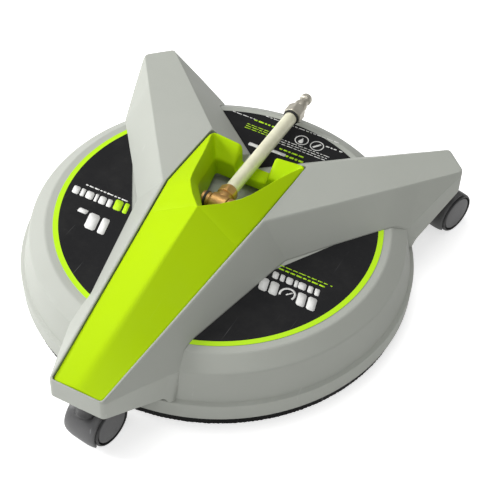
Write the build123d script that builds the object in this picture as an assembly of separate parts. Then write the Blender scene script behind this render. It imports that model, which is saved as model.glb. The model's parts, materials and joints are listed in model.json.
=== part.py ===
"""Rotary surface cleaner: a round deck on three casters, with a spinning spray bar.

Frame: millimetres, +Z up, floor at z = 0. The nose arm points along -Y and the
lance along +Y. The deck is built about its own spin axis and moved as a whole, so
that the origin is the middle of the base of the whole machine.
"""
from build123d import *
from math import cos, hypot, radians, sin
import os

# ---------------------------------------------------------------- driving sizes
AXIS_Y = 20.0            # spin axis of the deck, from the origin
FLANGE_R = 170.0         # outer radius at the foot of the deck
FLANGE_Z = 10.0          # underside of the deck rim above the floor
RIM_Z = 27.8             # top of the thick rim
SHOULDER_R = 161.2       # wall meets chamfer
SHOULDER_Z = 55.4
CROWN_R = 148.8          # chamfer meets the flat top
TOP_Z = 65.1             # flat top that carries the labels
DECK_WALL = 3.0
WELL_R = 71.0            # round well in the middle of the deck
WELL_Z = 50.0            # floor of the well
WELL_BORE_R = 14.4
STRIPE_R_IN = 135.7      # lime stripe round the labels
STRIPE_R_OUT = 140.3
REAR_LABEL_R = 141.5
LABEL_T = 0.4
LABEL_GAP = 0.4

FRAME_WALL = 3.0
TIP_REACH = 219.6        # end of each arm from the spin axis
TIP_BOTTOM_Z = 54.5
UNDERSIDE_RISE = 0.39    # the underside climbs towards each tip
REAR_ARM_ANGLE = 45.9    # rear arms, from +X

COVER_GAP = 0.6          # shadow line round the nose cover
COVER_WALL = 2.4
COVER_EDGE = 4.0         # height of the cover's side edge
SEAT_T = 2.4             # frame plate under the cover
TUB_WALL = 2.2
TUB_FLOOR_Z = 57.4       # open lower end of the pocket
NOTCH_HALF = 14.5        # half width of the notch for the lance
NOTCH_Z = 66.6
NOTCH_R = 9.0

BRISTLE_Z = 0.9          # lowest bristle tip above the floor
BRUSH_R = 163.9
BRUSH_T = 3.6

BEARING_R = 11.0         # 608 size: 8 x 22 x 7
BEARING_W = 7.0
SHAFT_R = 4.0
SHAFT_FIT = 0.03
ROTOR_Z = 19.0           # centre line of the spray bar
SPRAY_R = 128.0          # nozzle circle
SPRAY_TUBE_R = 4.5

PIVOT_Z = 82.5           # tilt axis of the lance
PIVOT_R = 4.5
PIVOT_FIT = 0.04
LANCE_DROP = 1.6         # rest slope of the lance, degrees below level
LANCE_R = 6.0            # 12 mm tube
LANCE_END = 134.5        # tube end from the tilt axis
PLUG_R = 5.95            # quarter inch quick-connect plug
PLUG_HEX = 12.0          # length of the plug's hexagon
PLUG_HEX_AF = 15.6
PLUG_HEX_CORNER = 9.0    # radius of the hexagon's corners, and its end chamfer
PLUG_HEX_CHAMFER = 7.9

WHEEL_R = 19.05          # 1.5 inch casters
WHEEL_W = 12.0
WEB_HALF = 4.0
WHEEL_GAP = 0.35
CASTER_STEM_R = 4.0
CASTER_REACH = 208.0     # caster stems from the spin axis
CASTER_TRAIL = 10.5
CASTER_TOP_Z = 47.0
AXLE_R = 2.5
HOOD_R = 20.6
HOOD_T = 2.2
HOOD_HALF = 15.2
SOCKET_R = 6.5
SOCKET_TOP_Z = 64.0
SOCKET_SEAT_Z = 49.6

DECK_SCREW_ANGLES = (-90.0, REAR_ARM_ANGLE, 180.0 - REAR_ARM_ANGLE)
DECK_SCREW_CIRCLE = (84.0, 132.0)
SWIVEL_SCREW_ANGLES = (0.0, 90.0, 180.0, 270.0)
SWIVEL_SCREW_R = 19.0          # screw circle of the swivel's flange
SWIVEL_FLANGE_T = 4.0
SWIVEL_FLANGE_R = 25.0
SWIVEL_BODY_R = 14.2
LOWER_BEARING_Z = 29.0
UPPER_BEARING_Z = 39.0
SEAL_Z = 47.0
SHAFT_TOP_Z = 50.5
INLET_SEAT_Z = 54.0

# Half outline of the cover, as y, half width, edge height and ridge height.
COVER_STATIONS = (
    (-217.5, 21.8, 72.4, 74.6),
    (-8.2, 45.0, 95.2, 117.9),
    (71.0, 46.1, 90.2, 113.0),
)
# Pocket in the cover: mouth on the roof, then a straight-sided tub.
POCKET_MOUTH = ((0, -37.2, 112.0), (25.0, -4.5, 105.5), (45.2, 70.0, 90.4))
POCKET_THROAT = ((0, -30.0, 88.0), (27.0, 8.0, 85.0), (34.0, 56.0, 74.0))
COVER_SCREW_Y = (-160.0, -108.0)
COVER_SCREW_GRIP = 7.0
BACK_HALF = 36.2
BACK_Z = 66.2

PIVOT_LEFT = -15.5       # free end of the pivot bolt
EYE_HALF = 7.6
EYE_R = 8.6
CHEEK_X0 = 8.2
CHEEK_X1 = 13.5
PORT_X = 10.8            # water way up through the cheek

# Each caster: its angle on the deck and the way its wheels trail, from +X.
CASTERS = (
    ("front", -90.0, 82.0),
    ("rear_right", REAR_ARM_ANGLE, 73.0),
    ("rear_left", 180.0 - REAR_ARM_ANGLE, 107.0),
)

os.makedirs("parts", exist_ok=True)
SHIFT = Location((0, AXIS_Y, 0))


# ---------------------------------------------------------------- helpers
def save(name, shape):
    """Write one node, moved from the spin axis frame to the object's frame."""
    solids = [s.moved(SHIFT) for s in shape.solids()]
    whole = solids[0] if len(solids) == 1 else Compound(children=solids)
    export_step(whole, "parts/" + name + ".step")


def rod(radius, low, high):
    """Upright cylinder from height low to height high."""
    return Pos(0, 0, (low + high) / 2) * Cylinder(radius, high - low)


def pipe(r_in, r_out, low, high):
    return rod(r_out, low, high) - rod(r_in, low - 1, high + 1)


def rod_x(radius, x0, x1, y=0, z=0):
    return Pos((x0 + x1) / 2, y, z) * Rot(0, 90, 0) * Cylinder(radius, x1 - x0)


def rod_y(radius, y0, y1, x=0, z=0):
    return Pos(x, (y0 + y1) / 2, z) * Rot(90, 0, 0) * Cylinder(radius, y1 - y0)


def block(x0, x1, y0, y1, z0, z1):
    middle = ((x0 + x1) / 2, (y0 + y1) / 2, (z0 + z1) / 2)
    return Pos(*middle) * Box(x1 - x0, y1 - y0, z1 - z0)


def hex_rod(across_flats, low, high):
    sketch = RegularPolygon(across_flats / 2, 6, major_radius=False)
    return Pos(0, 0, low) * extrude(sketch, high - low)


def turned(points):
    """Solid of revolution about Z from (radius, height) points."""
    wire = Wire.make_polygon([(r, 0, z) for r, z in points], close=True)
    return revolve(Face(wire), Axis.Z, 360)


def polygon_prism(points, low, high):
    wire = Wire.make_polygon([(x, y, low) for x, y in points], close=True)
    return extrude(Face(wire), high - low, dir=(0, 0, 1))


def plane_through(a, b, c, shift=0.0):
    """Plane through three points, its normal up or outwards, moved along it."""
    a, b, c = Vector(*a), Vector(*b), Vector(*c)
    normal = (b - a).cross(c - a).normalized()
    if normal.dot(Vector(a.X, a.Y, 60)) < 0:
        normal = normal * -1
    return Plane(origin=a + normal * shift, z_dir=normal)


def wall_plane(p, q, shift=0.0):
    """Upright plane through two plan points, its normal away from the axis."""
    along = Vector(q[0] - p[0], q[1] - p[1], 0).normalized()
    normal = Vector(along.Y, -along.X, 0)
    if normal.dot(Vector(p[0], p[1], 0)) < 0:
        normal = normal * -1
    return Plane(origin=Vector(p[0], p[1], 0) + normal * shift, z_dir=normal)


def inside_of(planes, blank):
    """What is left of the blank below or behind every plane."""
    for plane in planes:
        blank = blank.split(plane, keep=Keep.BOTTOM)
    return blank


def y_loft(sections):
    """Straight-sided loft of XZ outlines, given as (y, points)."""
    wires = []
    for y, points in sections:
        wires.append(Wire.make_polygon([(x, y, z) for x, z in points], close=True))
    return Solid.make_loft(wires, ruled=True)


# ---------------------------------------------------------------- frame corners
# Right-hand corners of the three-armed frame; the left side is their mirror image.
CREASE = (48.2, -12.2, 96.4)          # nose and rear arm creases meet here
NOSE_TIP = (23.6, -TIP_REACH, 74.1)
NOSE_FOOT = (71.6, -15.9, TOP_Z)
NOSE_FOOT_END = (47.1, -127.3, TOP_Z)
NOSE_SHOULDER = (50.6, -151.9, SHOULDER_Z)
REAR_TIP_OUT = (163.3, 147.5, 77.7)
REAR_TIP_BACK = (142.0, 167.2, 78.4)
REAR_FOOT_OUT = (97.9, 19.4, TOP_Z)
REAR_FOOT_BACK = (66.0, 125.6, TOP_Z)
REAR_CREASE_BACK = (46.1, 70.7, 91.9)
REAR_SHOULDER_OUT = (142.9, 78.9, SHOULDER_Z)
REAR_SHOULDER_BACK = (74.3, 145.3, SHOULDER_Z)


def mirrored(point):
    return (-point[0],) + tuple(point[1:])


def underside(direction, shift):
    """Sloping underside plane of an arm that points along an angle in degrees."""
    outward = Vector(cos(radians(direction)), sin(radians(direction)), 0)
    normal = Vector(outward.X * UNDERSIDE_RISE, outward.Y * UNDERSIDE_RISE, -1)
    origin = outward * TIP_REACH + Vector(0, 0, TIP_BOTTOM_Z)
    return Plane(origin=origin + normal.normalized() * shift, z_dir=normal)


def nose_arm(shift, open_below):
    """Convex body of the nose arm, every wall moved outwards by shift."""
    blank = block(-120, 120, -260, CREASE[1] + 1, 0, 140)
    left = [mirrored(p) for p in (CREASE, NOSE_FOOT, NOSE_FOOT_END)]
    planes = [
        plane_through(NOSE_TIP, mirrored(NOSE_TIP), CREASE, shift),
        plane_through(CREASE, NOSE_FOOT, NOSE_FOOT_END, shift),
        plane_through(left[0], left[1], left[2], shift),
        wall_plane(NOSE_TIP, NOSE_SHOULDER, shift),
        wall_plane(mirrored(NOSE_TIP), mirrored(NOSE_SHOULDER), shift),
        Plane(origin=(0, -TIP_REACH - shift, 0), z_dir=(0, -1, 0)),
    ]
    planes.append(underside(-90, 8.0 if open_below else 0.0))
    return inside_of(planes, blank)


def rear_arm(shift, open_below):
    """Convex body of the right rear arm, every wall moved outwards by shift."""
    blank = block(0, 240, -120, 240, 0, 140)
    planes = [
        plane_through(CREASE, REAR_TIP_OUT, REAR_TIP_BACK, shift),
        plane_through(CREASE, REAR_TIP_OUT, REAR_FOOT_OUT, shift),
        plane_through(REAR_CREASE_BACK, REAR_TIP_BACK, REAR_FOOT_BACK, shift),
        wall_plane(REAR_TIP_OUT, REAR_SHOULDER_OUT, shift),
        wall_plane(REAR_TIP_BACK, REAR_SHOULDER_BACK, shift),
        wall_plane(REAR_TIP_OUT, REAR_TIP_BACK, shift),
    ]
    planes.append(underside(REAR_ARM_ANGLE, 8.0 if open_below else 0.0))
    return inside_of(planes, blank)


def three_arms(shift, open_below=False):
    right = rear_arm(shift, open_below)
    return nose_arm(shift, open_below) + right + right.mirror(Plane.YZ)


# ---------------------------------------------------------------- deck
def deck_outline(inset):
    """Half section of the deck's skin, moved inwards by inset."""
    slope = 1.4 * inset
    return [
        (FLANGE_R - inset, FLANGE_Z),
        (FLANGE_R + 0.6 - inset, RIM_Z - inset),
        (FLANGE_R - 3.4 - inset, RIM_Z - inset),
        (SHOULDER_R - inset, SHOULDER_Z - 0.4 * inset),
        (CROWN_R - inset + 0.6, TOP_Z - inset),
    ]


def deck_filled():
    points = deck_outline(0.0)
    return turned([(0, 0), (FLANGE_R, 0)] + points + [(0, TOP_Z)])


def deck_housing():
    skin = deck_outline(0.0)
    lining = deck_outline(DECK_WALL)
    crown = [
        (WELL_R, TOP_Z),
        (WELL_R - 2.0, WELL_Z),
        (WELL_BORE_R, WELL_Z),
        (WELL_BORE_R, WELL_Z - DECK_WALL),
        (WELL_R + 1.0, WELL_Z - DECK_WALL),
        (WELL_R + DECK_WALL, TOP_Z - DECK_WALL),
    ]
    body = turned(skin + crown + lining[::-1])
    for angle in DECK_SCREW_ANGLES:
        for radius in DECK_SCREW_CIRCLE:
            body -= Rot(0, 0, angle) * Pos(radius, 0, 0) * rod(2.2, 55, 70)
    for angle in SWIVEL_SCREW_ANGLES:
        body -= Rot(0, 0, angle) * Pos(SWIVEL_SCREW_R, 0, 0) * rod(2.5, 40, 55)
    return body

# ---------------------------------------------------------------- nose cover


def cover_section(station, grow, drop, top=None):
    """XZ outline of the cover at one station."""
    y, half, edge, ridge = station
    low = edge - COVER_EDGE - drop
    half = half + grow
    if top is not None:
        return (y, [(-half, low), (half, low), (half, top), (0, top), (-half, top)])
    slope = (ridge - edge) / station[1]
    edge = ridge - slope * half + min(grow, 0) * 1.0
    ridge = ridge + min(grow, 0) * 1.0
    return (y, [(-half, low), (half, low), (half, edge), (0, ridge), (-half, edge)])


def cover_blank(grow, drop, lengthen, top=None):
    stations = [list(s) for s in COVER_STATIONS]
    stations[0][0] -= lengthen
    stations[2][0] += lengthen
    return y_loft([cover_section(s, grow, drop, top) for s in stations])


def pocket_ring(half_points, extra=0.0):
    """Closed loop of plan points from the half outline, optionally widened."""
    right = []
    for x, y, z in half_points:
        reach = hypot(x, y - 20)
        scale = (reach + extra) / reach
        right.append((x * scale, 20 + (y - 20) * scale, z))
    left = [(-x, y, z) for x, y, z in right[::-1] if x > 0]
    return right + left


def faceted(lower, upper):
    """Solid between two loops of points, its side walls as triangles."""
    faces = []
    count = len(lower)
    for i in range(count):
        j = (i + 1) % count
        for corner in ((lower[i], lower[j], upper[j]), (lower[i], upper[j], upper[i])):
            faces.append(Face(Wire.make_polygon(corner, close=True)))
    for ring in (lower, upper):
        for i in range(1, count - 1):
            corner = (ring[0], ring[i], ring[i + 1])
            faces.append(Face(Wire.make_polygon(corner, close=True)))
    solid = Solid(Shell(faces))
    return solid if solid.volume > 0 else Solid(Shell([-f for f in faces]))


def pocket_bevel():
    """Funnel from the mouth on the roof down to the tub."""
    throat = pocket_ring(POCKET_THROAT)
    mouth = pocket_ring(POCKET_MOUTH)
    upper = []
    for low, high in zip(throat, mouth):
        reach = 30.0 / max(high[2] - low[2], 1.0)
        upper.append(tuple(low[k] + (high[k] - low[k]) * (1 + reach) for k in range(3)))
    return faceted(throat, upper)


def tub(extra, low, high):
    """Straight-sided body on the pocket's throat outline."""
    return polygon_prism([p[:2] for p in pocket_ring(POCKET_THROAT, extra)], low, high)


def back_block(gap):
    """Deep rear wall of the pocket, between the tub and the label."""
    half = BACK_HALF + gap
    return block(-half, half, 40, COVER_STATIONS[2][0] + gap, BACK_Z - gap, 130)


def notch(grow, y0, y1):
    """Round-bottomed slot for the lance, through the back of the pocket."""
    half = NOTCH_HALF + grow
    low = NOTCH_Z - grow
    foot = NOTCH_R + grow
    slot = block(-half, half, y0, y1, low + 14, 140)
    waist = [(-foot, low), (foot, low), (half, low + 14), (-half, low + 14)]
    return slot + y_loft([(y0, waist), (y1, waist)])


def nose_cover():
    skin = cover_blank(0.0, 0.0, 0.0)
    under_roof = cover_blank(0.0, 60.0, 0.0)
    hollow = cover_blank(-COVER_WALL, 6.0, -COVER_WALL)
    mouth = [p[:2] for p in pocket_ring(POCKET_MOUTH, 2.0)]
    shell = skin - hollow + (polygon_prism(mouth, 40, 130) & skin)
    shell = shell + ((tub(TUB_WALL, TUB_FLOOR_Z, 130) + back_block(0.0)) & under_roof)
    for y in COVER_SCREW_Y:
        low = seat_height(y) + 0.1
        boss = Pos(0, y, 0) * rod(4.0, low, 120)
        shell = shell + (boss & skin)
        shell = shell - Pos(0, y, 0) * rod(1.5, low - 1, low + COVER_SCREW_GRIP)
    shell = shell - pocket_bevel() - tub(0.0, TUB_FLOOR_Z - 1, 97)
    shell = shell - notch(0.0, 40, 90)
    return shell.solids().sort_by(SortBy.VOLUME)[-1]


def seat_height(y):
    """Height of the frame's plate under the cover's ridge."""
    y0, _, e0, _ = COVER_STATIONS[0]
    y1, _, e1, _ = COVER_STATIONS[1]
    return e0 + (e1 - e0) * (y - y0) / (y1 - y0) - COVER_EDGE - 0.3


# ---------------------------------------------------------------- frame shell
def frame_shell():
    outer = three_arms(0.0)
    inner = three_arms(-FRAME_WALL, True)
    recess = cover_blank(COVER_GAP, 0.3, COVER_GAP, 150)
    under_seat = cover_blank(COVER_GAP + SEAT_T, 0.3 + SEAT_T, COVER_GAP + SEAT_T, 150)
    hub_hole = tub(TUB_WALL + 0.6, 30, 130) + back_block(0.6)
    shell = outer - (inner - under_seat) - recess - hub_hole
    shell = shell - notch(0.4, 40, 120)
    deck = deck_filled()
    for angle in DECK_SCREW_ANGLES:
        turn = Rot(0, 0, angle)
        for radius in DECK_SCREW_CIRCLE:
            boss = turn * Pos(radius, 0, 0) * rod(5.0, 55, 120)
            shell = shell + (boss & outer - recess)
        socket = turn * Pos(CASTER_REACH, 0, 0) * rod(SOCKET_R + 2.5, 40, 100)
        shell = shell + (socket & outer - recess)
    shell = shell - deck
    for angle in DECK_SCREW_ANGLES:
        turn = Rot(0, 0, angle)
        for radius in DECK_SCREW_CIRCLE:
            shell = shell - turn * Pos(radius, 0, 0) * rod(1.9, 40, 75)
        shell = shell - turn * Pos(CASTER_REACH, 0, 0) * rod(SOCKET_R, 20, SOCKET_TOP_Z)
        shell = shell - turn * Pos(CASTER_REACH, 0, 0) * rod(SOCKET_R + 2.5, 20, SOCKET_SEAT_Z)
    for y in COVER_SCREW_Y:
        shell = shell - Pos(0, y, 0) * rod(1.9, 40, 120)
    solids = sorted(shell.solids(), key=lambda s: s.volume)
    return solids[-1]


# ---------------------------------------------------------------- deck trim
def label_plates():
    """Three thin labels on the flat top, and the two lime stripes beside them."""
    frame_print = three_arms(LABEL_GAP)
    low, high = TOP_Z, TOP_Z + LABEL_T
    field = pipe(WELL_R + 1.0, STRIPE_R_IN, low, high) - frame_print
    wide = pipe(WELL_R + 1.0, REAR_LABEL_R, low, high) - frame_print
    stripe = pipe(STRIPE_R_IN + 0.02, STRIPE_R_OUT, low, high) - frame_print
    rear = [s for s in wide.solids() if s.center().Y > 60 and abs(s.center().X) < 40]
    left = [s for s in field.solids() if s.center().X < -60]
    right = [s for s in field.solids() if s.center().X > 60]
    stripes = [s for s in stripe.solids() if s.center().Y < 60]
    save("label_rear", largest(rear))
    save("label_left", largest(left))
    save("label_right", largest(right))
    save("lime_stripe_left", largest([s for s in stripes if s.center().X < 0]))
    save("lime_stripe_right", largest([s for s in stripes if s.center().X > 0]))


def largest(solids):
    return sorted(solids, key=lambda s: s.volume)[-1]


def brush_parts():
    """Bristle skirt in a split channel under the deck's rim."""
    mid = BRUSH_R
    half = BRUSH_T / 2
    top = RIM_Z - DECK_WALL
    channel = pipe(mid - half - 1.2, mid + half + 1.2, 12.0, top)
    save("brush_channel", channel - pipe(mid - half, mid + half, 11.0, 20.5))
    save("brush_bristles", pipe(mid - half, mid + half, BRISTLE_Z, 20.5))


def group(shape, places):
    """The same piece at several places, as one group of separate solids."""
    return Compound(children=[s for place in places for s in (place * shape).solids()])


def screw(head_r, head_h, shank_r, length):
    """Pan head screw that points up, its head's seat at height 0."""
    head = rod(head_r, -head_h, 0)
    recess = extrude(Pos(0, 0, -head_h) * RegularPolygon(head_r * 0.5, 6), head_h * 0.6)
    return head + rod(shank_r, 0, length) - recess


def around(radius, angles, z=0.0):
    return [Rot(0, 0, a) * Pos(radius, 0, z) for a in angles]


def fasteners():
    deck_places = []
    for radius in DECK_SCREW_CIRCLE:
        deck_places += around(radius, DECK_SCREW_ANGLES, TOP_Z - DECK_WALL)
    save("deck_screws", group(screw(4.0, 2.6, 1.9, 12.5), deck_places))
    cover_places = [Pos(0, y, seat_height(y) - SEAT_T - 0.5) for y in COVER_SCREW_Y]
    shank = COVER_SCREW_GRIP + SEAT_T - 1.0
    save("cover_screws", group(screw(3.2, 2.2, 1.5, shank), cover_places))
    bolt = Rot(180, 0, 0) * screw(4.2, 3.0, 2.5, 14.0)
    top = WELL_Z + SWIVEL_FLANGE_T
    save("swivel_bolts", group(bolt, around(SWIVEL_SCREW_R, SWIVEL_SCREW_ANGLES, top)))
    nut = hex_rod(8.0, 0, 4.0) - rod(2.5, -1, 5)
    low = WELL_Z - DECK_WALL - 4.0
    save("swivel_nuts", group(nut, around(SWIVEL_SCREW_R, SWIVEL_SCREW_ANGLES, low)))


# ---------------------------------------------------------------- swivel and rotor


def swivel_housing():
    body = rod(SWIVEL_FLANGE_R, WELL_Z, WELL_Z + SWIVEL_FLANGE_T)
    body = body + rod(SWIVEL_BODY_R, 26, 52)
    body = body - rod(BEARING_R, 25, 46) - rod(7.0, 45, SEAL_Z + 3) - rod(5.0, 49, 60)
    for place in around(SWIVEL_SCREW_R, SWIVEL_SCREW_ANGLES):
        body = body - place * rod(2.5, 40, 60)
    groove = pipe(BEARING_R - 0.5, BEARING_R + 0.6, 27.0, 28.2)
    return body - groove


def bearing(z):
    """Sealed ball bearing as one ring with shield grooves."""
    ring = pipe(SHAFT_R + SHAFT_FIT, BEARING_R, z, z + BEARING_W)
    groove = pipe(5.6, 9.2, z + BEARING_W - 0.5, z + BEARING_W + 1)
    return ring - groove - pipe(5.6, 9.2, z - 1, z + 0.5)


def swivel_parts():
    save("swivel_housing", swivel_housing())
    save("bearing_upper", bearing(UPPER_BEARING_Z))
    save("bearing_lower", bearing(LOWER_BEARING_Z))
    save("bearing_spacer", pipe(9.5, BEARING_R, LOWER_BEARING_Z + BEARING_W, UPPER_BEARING_Z))
    clip = pipe(9.0, BEARING_R + 0.5, 27.1, 28.1) - block(-2, 2, -14, 0, 26, 29)
    save("bearing_circlip", clip)
    save("pressure_seal", pipe(SHAFT_R + SHAFT_FIT, 7.0, SEAL_Z, SEAL_Z + 3))
    save("swivel_gasket", pipe(6.0, 9.0, INLET_SEAT_Z, INLET_SEAT_Z + 0.8))


def rotor_shaft():
    """Hollow shaft whose shoulder runs under the lower bearing."""
    shaft = rod(SHAFT_R, ROTOR_Z, SHAFT_TOP_Z) + rod(5.2, ROTOR_Z + 6, LOWER_BEARING_Z - 0.3)
    return shaft - rod(1.6, ROTOR_Z + 1, 60)


def rotor_hub():
    hub = rod(13.0, ROTOR_Z - 6.5, ROTOR_Z + 6)
    hub = hub - rod(SHAFT_R, ROTOR_Z, 60) - rod_x(SPRAY_TUBE_R, 7, 20, 0, ROTOR_Z)
    hub = hub - rod_x(SPRAY_TUBE_R, -20, -7, 0, ROTOR_Z) - rod_x(1.6, -8, 8, 0, ROTOR_Z)
    return hub - rod(2.5, ROTOR_Z - 7, ROTOR_Z - 1.9)


def spray_tube():
    tube = rod_x(SPRAY_TUBE_R, 7.0, SPRAY_R - 6.5, 0, ROTOR_Z)
    return tube - rod_x(2.6, 6, SPRAY_R, 0, ROTOR_Z)


def nozzle_head():
    """Elbow block at the tip of the spray bar, bored for its nozzle."""
    head = block(SPRAY_R - 12, SPRAY_R + 7, -7, 7, ROTOR_Z - 7, ROTOR_Z + 7)
    head = head - rod_x(SPRAY_TUBE_R, SPRAY_R - 13, SPRAY_R - 6.5, 0, ROTOR_Z)
    head = head - rod_x(2.0, SPRAY_R - 7, SPRAY_R, 0, ROTOR_Z)
    return head - Pos(SPRAY_R, 0, 0) * rod(3.2, ROTOR_Z - 8, ROTOR_Z)


def nozzle():
    tip = rod(3.2, ROTOR_Z - 7, ROTOR_Z - 1) + hex_rod(9.0, ROTOR_Z - 10, ROTOR_Z - 7)
    tip = tip - rod(0.6, 0, ROTOR_Z) - rod(1.8, ROTOR_Z - 4, ROTOR_Z)
    return Pos(SPRAY_R, 0, 0) * tip


def rotor_parts():
    half_turn = Rot(0, 0, 180)
    save("rotor_shaft", rotor_shaft())
    save("rotor_hub", rotor_hub())
    bolt = hex_rod(8.0, ROTOR_Z - 10, ROTOR_Z - 6.5) + rod(2.5, ROTOR_Z - 6.5, ROTOR_Z - 2)
    save("rotor_bolt", bolt)
    for name, turn in (("a", Location()), ("b", half_turn)):
        save("spray_tube_" + name, turn * spray_tube())
        save("nozzle_head_" + name, turn * nozzle_head())
        save("nozzle_" + name, turn * nozzle())


# ---------------------------------------------------------------- lance


def inlet_block():
    """Brass inlet on the swivel: a hexagon foot and one cheek for the pivot."""
    foot = hex_rod(22.0, INLET_SEAT_Z + 0.8, 64.5)
    cheek = block(CHEEK_X0, CHEEK_X1, -8, 8, 62.5, PIVOT_Z)
    cheek = cheek + rod_x(8, CHEEK_X0, CHEEK_X1, 0, PIVOT_Z)
    arm = block(-6, CHEEK_X1, -6, 6, 62.5, 70.0)
    body = foot + cheek + arm + rod(4.9, 51.5, 58)
    body = body - rod_x(PIVOT_R, 0, 30, 0, PIVOT_Z)
    body = body - rod(2.0, 50, 66.5) - rod_x(1.8, -1, PORT_X, 0, 66.5)
    return body - Pos(PORT_X, 0, 0) * rod(1.8, 65.5, PIVOT_Z)


def pivot_bolt():
    """Hollow bolt on the tilt axis, with a collar at its free end."""
    bolt = rod_x(PIVOT_R, PIVOT_LEFT, CHEEK_X1, 0, PIVOT_Z)
    collar = rod_x(6.8, PIVOT_LEFT, PIVOT_LEFT + 2.2, 0, PIVOT_Z)
    bore = rod_x(1.6, -6, 20, 0, PIVOT_Z)
    groove = rod_x(PIVOT_R + 1, -1.5, 1.5, 0, PIVOT_Z) - rod_x(3.4, -2, 2, 0, PIVOT_Z)
    ports = rod_y(1.2, -6, 6, 0, PIVOT_Z)
    head = Pos(CHEEK_X1, 0, PIVOT_Z) * Rot(0, 90, 0) * hex_rod(10.0, 0, 3.0)
    return bolt + collar + head - bore - groove - ports


def lance_place():
    """Location of the lance's own frame: its axis along +Y from the tilt axis."""
    return Pos(0, 0, PIVOT_Z) * Rot(-LANCE_DROP, 0, 0)


def tilt_elbow():
    eye = rod_x(EYE_R, -EYE_HALF, EYE_HALF) + rod_x(7.0, PIVOT_LEFT + 4.2, -EYE_HALF)
    neck = rod_y(7.2, 0, 17) + rod_y(8.2, 13, 23)
    body = eye + neck - rod_x(PIVOT_R + PIVOT_FIT, -30, 30)
    body = body - rod_y(2.4, PIVOT_R, 30) - rod_y(LANCE_R, 15, 30)
    return body


def lance_tube():
    return rod_y(LANCE_R, 15, LANCE_END) - rod_y(3.6, 14, LANCE_END + 1)


def plug_profile():
    """Half section of the quick-connect plug along its axis, from the hexagon."""
    r = PLUG_R
    return [
        (2.6, 0.0), (r, 0.0), (r, 8.5), (4.4, 10.5), (4.4, 14.5), (r - 0.3, 15.6),
        (r - 0.3, 18.9), (4.9, 21.0), (3.4, 22.3), (2.6, 22.3),
    ]


def quick_plug():
    turned_body = turned(plug_profile())
    start = -PLUG_HEX
    corners = [
        (0, start), (PLUG_HEX_CHAMFER, start), (PLUG_HEX_CORNER, start + 1),
        (PLUG_HEX_CORNER, -1), (PLUG_HEX_CHAMFER - 0.2, 0), (0, 0),
    ]
    hexagon = hex_rod(PLUG_HEX_AF, start, 0.0) & turned(corners)
    body = hexagon + turned_body + rod(3.5, start - 5.0, start + 1.0)
    body = body - rod(2.6, -30, 30)
    return Pos(0, LANCE_END + PLUG_HEX + 0.6, 0) * Rot(-90, 0, 0) * body


def lance_parts():
    place = lance_place()
    save("inlet_block", inlet_block())
    save("pivot_bolt", pivot_bolt())
    save("tilt_elbow", place * tilt_elbow())
    save("lance_tube", place * lance_tube())
    collar = rod_y(7.6, LANCE_END - 1.4, LANCE_END + 0.6)
    collar = collar - rod_y(LANCE_R, 0, LANCE_END) - rod_y(3.6, 0, 200)
    save("lance_collar", place * collar)
    save("quick_plug", place * quick_plug())
    washer = rod_x(7.4, PIVOT_LEFT + 2.3, PIVOT_LEFT + 4.1, 0, PIVOT_Z)
    save("pivot_washer", washer - rod_x(PIVOT_R, -30, 30, 0, PIVOT_Z))


# ---------------------------------------------------------------- casters


def caster_hood():
    """Twin-wheel caster body: middle web, hood over the leading side, stem boss."""
    axle = Pos(0, CASTER_TRAIL, WHEEL_R)
    ring = rod_x(HOOD_R + HOOD_T, -HOOD_HALF, HOOD_HALF) - rod_x(HOOD_R, -30, 30)
    window = polygon_prism([(-40, 4.0), (40, 4.0), (40, 60), (-40, 60)], -60, 60)
    floor_cut = block(-40, 40, -60, 60, -60, -9.0)
    hood = ring - window - floor_cut
    web = rod_x(HOOD_R + 1, -WEB_HALF, WEB_HALF) - window - floor_cut
    web = web + rod_x(14.0, -WEB_HALF, WEB_HALF)
    body = axle * (hood + web)
    boss = rod(7.5, CASTER_TOP_Z - 12, CASTER_TOP_Z)
    body = body + (boss - axle * rod_x(HOOD_R, -30, 30))
    body = body - axle * rod_x(AXLE_R, -30, 30)
    return body - rod(CASTER_STEM_R, CASTER_TOP_Z - 8, 80)


def caster_wheel():
    """Right-hand wheel about the X axis, its outer face dished behind a rim."""
    x0 = WEB_HALF + WHEEL_GAP
    wheel = rod_x(WHEEL_R, x0, x0 + WHEEL_W)
    wheel = wheel.fillet(1.2, wheel.edges().filter_by(GeomType.CIRCLE))
    groove = rod_x(16.9, x0 + WHEEL_W - 1.0, 40) - rod_x(15.6, 0, 60)
    return wheel - groove - rod_x(AXLE_R + 0.04, 0, x0 + WHEEL_W - 2.0)


def caster_parts():
    for name, angle, heading in CASTERS:
        stem_place = Rot(0, 0, angle) * Pos(CASTER_REACH, 0, 0)
        stem_at = stem_place.position
        place = Pos(stem_at.X, stem_at.Y, 0) * Rot(0, 0, heading - 90)
        axle_place = place * Pos(0, CASTER_TRAIL, WHEEL_R)
        reach = WEB_HALF + WHEEL_GAP + WHEEL_W - 2.3
        save("caster_" + name + "_hood", place * caster_hood())
        stem = rod(CASTER_STEM_R, CASTER_TOP_Z - 8, 60) + rod(CASTER_STEM_R - 0.8, 60, 62)
        save("caster_" + name + "_stem", place * stem)
        save("caster_" + name + "_axle", axle_place * rod_x(AXLE_R, -reach, reach))
        wheel = caster_wheel()
        save("caster_" + name + "_wheel_right", axle_place * wheel)
        save("caster_" + name + "_wheel_left", axle_place * (Rot(0, 0, 180) * wheel))
        socket = rod(SOCKET_R, CASTER_TOP_Z + 0.3, SOCKET_TOP_Z)
        socket = socket + rod(SOCKET_R + 2.2, CASTER_TOP_Z + 0.3, SOCKET_SEAT_Z)
        save("caster_" + name + "_socket", place * (socket - rod(CASTER_STEM_R + 0.05, 0, 62.4)))


save("frame_shell", frame_shell())
save("nose_cover", nose_cover())
save("deck_housing", deck_housing())
label_plates()
brush_parts()
fasteners()
swivel_parts()
rotor_parts()
lance_parts()
caster_parts()
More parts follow.
